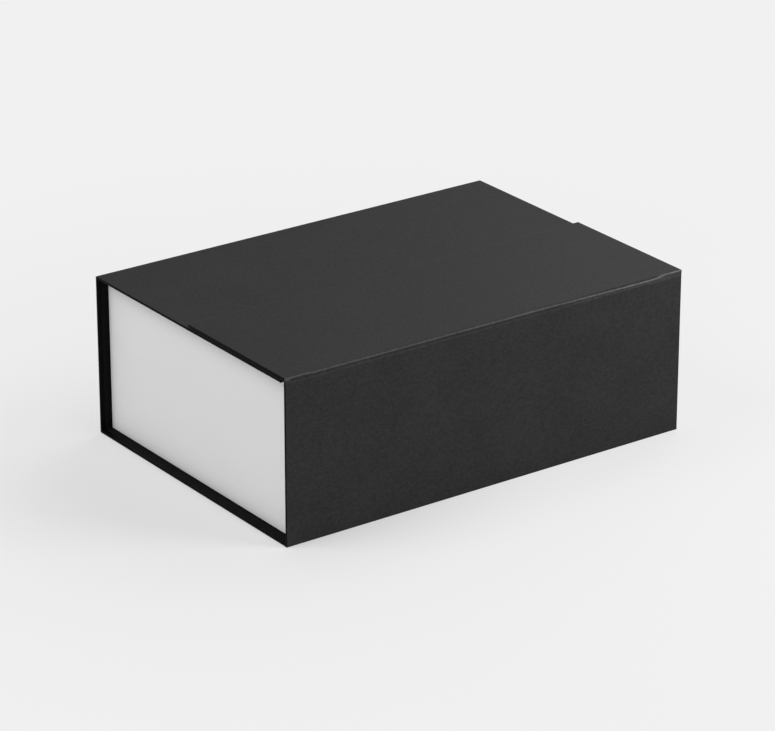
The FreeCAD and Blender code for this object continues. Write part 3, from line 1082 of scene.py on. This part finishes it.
flap_line = path(
    [(-HALF_WIDTH + FLAP_EDGE_LINING, FLAP_TOP - IN_FLAP_FOLD),
     (-HALF_WIDTH + FLAP_EDGE_LINING, FLAP_TOP - PANEL),
     (FLAP_EDGE - TURN_IN, FLAP_TOP - PANEL), (FLAP_EDGE - LINER_MARGIN, FLAP_TOP - PANEL)],
    [0, LINING_BEND, 0, 0],
)
across = flap_line[:, 0]
dips = smooth_step(across, -HALF_WIDTH + 0.8, -HALF_WIDTH + 2.5)
dips = dips * smooth_step(FLAP_EDGE - TURN_IN - across, 0, LINING_STEP)
over_edge = 1 - smooth_step(across, -HALF_WIDTH + 0.7, -HALF_WIDTH + 2.0)
flap_grid = lining_grid(flap_line, dips, 43, marks=DISC_SINK, wide_rows=over_edge)
flap_lining = make_piece("flap_lining", [flap_grid], BLACK_LINER, thickness=0.08)
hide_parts("flap_liner_paper")
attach(flap_lining, "closing_flap")

# %% [markdown]
# ## Drawer
#
# The drawer is a tray in white paper. Its paper goes under the floor, up the four sides, over
# the rim and down inside. That is one closed ring that changes size and height as it goes, so
# the grid's columns run round the tray and its rows follow the paper's line.

# %% Rings round the tray
TRAY_CENTRE = (tray_low + tray_high) / 2
TRAY_HALF = (tray_high - tray_low) / 2
TRAY_BOTTOM, TRAY_TOP = tray_low[2], tray_high[2]
TRAY_CORNER, INNER_CORNER = 0.7, 0.25
CORNER_ROOM = 4.0
WALL_BOW = 0.25


def side_shares(length):
    """Places along a ring's side as shares of it. They stop 2 mm short of both corners."""
    return run_places(length - CORNER_ROOM)[1:-1] / (length - CORNER_ROOM)


def tray_rings(profile, corner_radii, bow=0.0):
    """Closed rings, one for each (inset, height) of a profile. They run clockwise from above.

    A ring is a rectangle drawn in by its inset, with corners of its own radius. Its sides can
    bow in by `bow` millimetres in their middle, as glued board does.
    """
    inset, height = np.array(profile, float).T
    radius = np.array(corner_radii, float)
    half_x = (TRAY_HALF[0] - inset)[:, None]
    half_y = (TRAY_HALF[1] - inset)[:, None]
    angle = np.linspace(0, np.pi / 2, ARC_STEPS + 1)
    share_x, share_y = side_shares(2 * TRAY_HALF[0]), side_shares(2 * TRAY_HALF[1])
    rounds = radius[:, None]
    flat_x, flat_y = half_x - rounds, half_y - rounds
    one = np.ones_like(angle)
    blocks = []
    # From the right-hand back corner down the right side, then round the other three corners.
    for sign_x, sign_y, start in ((1, 1, 1), (1, -1, 0), (-1, -1, 3), (-1, 1, 2)):
        turn = start * np.pi / 2 - angle
        blocks.append((sign_x * flat_x * one + rounds * np.cos(turn),
                       sign_y * flat_y * one + rounds * np.sin(turn)))
        if sign_x * sign_y > 0:
            side = 1 - 2 * share_y
            bend = bow * (1 - side**2)
            blocks.append((sign_x * (half_x - bend), sign_y * flat_y * side))
        else:
            side = 1 - 2 * share_x
            bend = bow * (1 - side**2)
            blocks.append((sign_x * flat_x * side, sign_y * (half_y - bend)))
    pairs = [np.broadcast_arrays(*block) for block in blocks]
    x, y = (np.concatenate(parts, axis=1) for parts in zip(*pairs))
    z = np.broadcast_to(height[:, None], x.shape)
    return np.stack([x + TRAY_CENTRE[0], y + TRAY_CENTRE[1], z], axis=2)


def bowed_rings(profile, corner_radii):
    """Rings that are straight at the tray's foot and bow in fully from 30 mm above it."""
    straight = tray_rings(profile, corner_radii)
    bowed = tray_rings(profile, corner_radii, bow=WALL_BOW)
    rise = smooth_step(profile[:, 1], TRAY_BOTTOM + 1, TRAY_BOTTOM + 30)
    return straight + (bowed - straight) * rise[:, None, None]


WALL = 2.05
FOOT_RADIUS = 0.5
RIM_RADIUS = 0.4
RIM_LOW = TRAY_TOP - 16.0
tray_line = path(
    [(5.0, TRAY_BOTTOM), (0.0, TRAY_BOTTOM), (0.0, TRAY_TOP), (WALL, TRAY_TOP), (WALL, RIM_LOW)],
    [0, FOOT_RADIUS, RIM_RADIUS, RIM_RADIUS, 0],
)
inset, height = tray_line.T
points = bowed_rings(tray_line, np.clip(TRAY_CORNER - inset, INNER_CORNER, None))
rim = np.exp(-np.abs(height - TRAY_TOP) / 0.5)[:, None]
floor_edge = np.exp(-np.hypot(inset, height - TRAY_BOTTOM) / 0.6)[:, None]
corner_x = np.abs(np.abs(points[..., 0] - TRAY_CENTRE[0]) - TRAY_HALF[0])
corner_y = np.abs(np.abs(points[..., 1] - TRAY_CENTRE[1]) - TRAY_HALF[1])
upright = np.exp(-np.hypot(corner_x, corner_y) / 0.8)
tray_wear = 0.35 * np.maximum(np.maximum(rim, floor_edge), upright)
tray_sheet = make_piece(
    "drawer_wrap_sheet", [(points, tray_wear)], WHITE_WRAP, closed=True,
    caps=[range(points.shape[1])],
)
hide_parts("drawer_wrap_paper")
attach(tray_sheet, "drawer")

# %% [markdown]
# ## Linings of the drawer
#
# A plain white paper lines the walls and laps 5 mm over the turned-in rim paper. A last sheet
# covers the floor. It is cut a hair small, so a fine line runs round the floor.

# %% Line the drawer's walls and floor
LINING_FACE = 2.0
LINING_CORNER = 0.3
LAP = 5.0
LAP_RISE = 0.2
FLOOR_WAVES = 0.02
TRAY_FLOOR = tray_floor_low[2]
lining_line = path(
    [(LINING_FACE + LAP_RISE, RIM_LOW + LAP), (LINING_FACE + LAP_RISE, RIM_LOW),
     (LINING_FACE, RIM_LOW - 0.5), (LINING_FACE, TRAY_FLOOR)],
    [0, 0.3, 0.3, 0],
)
height = lining_line[:, 1]
points = bowed_rings(lining_line, np.full_like(height, LINING_CORNER))
edge = np.exp(-np.abs(height - RIM_LOW - LAP) / 0.6)[:, None] * np.ones(points.shape[1])
wall_lining = make_piece("drawer_wall_lining_sheet", [(points, edge)], WHITE_LINING, closed=True)
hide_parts("drawer_wall_lining")
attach(wall_lining, "drawer")

floor_size = tray_floor_high - tray_floor_low
floor_x = tray_floor_low[0] + run_places(floor_size[0])
floor_y = tray_floor_high[1] - run_places(floor_size[1])
x, y = np.meshgrid(floor_x, floor_y)
z = tray_floor_high[2] - unevenness(x, y, FLOOR_WAVES, 51)
border = np.minimum(tray_floor_high[0] - np.abs(x), tray_floor_high[1] - np.abs(y))
floor_grid = (np.stack([x, y, z], axis=2), np.exp(-border / 0.8))
floor_lining = make_piece("drawer_floor_lining_sheet", [floor_grid], WHITE_LINING)
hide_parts("drawer_floor_lining")
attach(floor_lining, "drawer")

# %% [markdown]
# ## Boards, tape and discs from the CAD model
#
# The boards, the corner tape, the magnets and the steel discs keep their exact CAD shape. Only
# their material changes, and that goes into the slots of their objects.

# %% Give the carried-over pieces their materials
CAD_MATERIALS = {
    "grey_board": GREY_BOARD,
    "brown_stay_tape": KRAFT_TAPE,
    "nickel_plated_magnet": NICKEL,
    "steel_disc": ZINC,
}
slots = {part["node"]: part["material_slot"] for part in frame["record"]["subparts"]}
for node, cad_object in frame["nodes"].items():
    material = CAD_MATERIALS.get(slots[node])
    if material:
        for slot in cad_object.material_slots:
            slot.material = material
print("carried over:", sorted(n for n in frame["nodes"] if slots[n] in CAD_MATERIALS))

# %% [markdown]
# ## Finish
#
# The picture keeps plain colours, without a film look.

# %% Set the view transform
bpy.context.scene.view_settings.view_transform = "Standard"
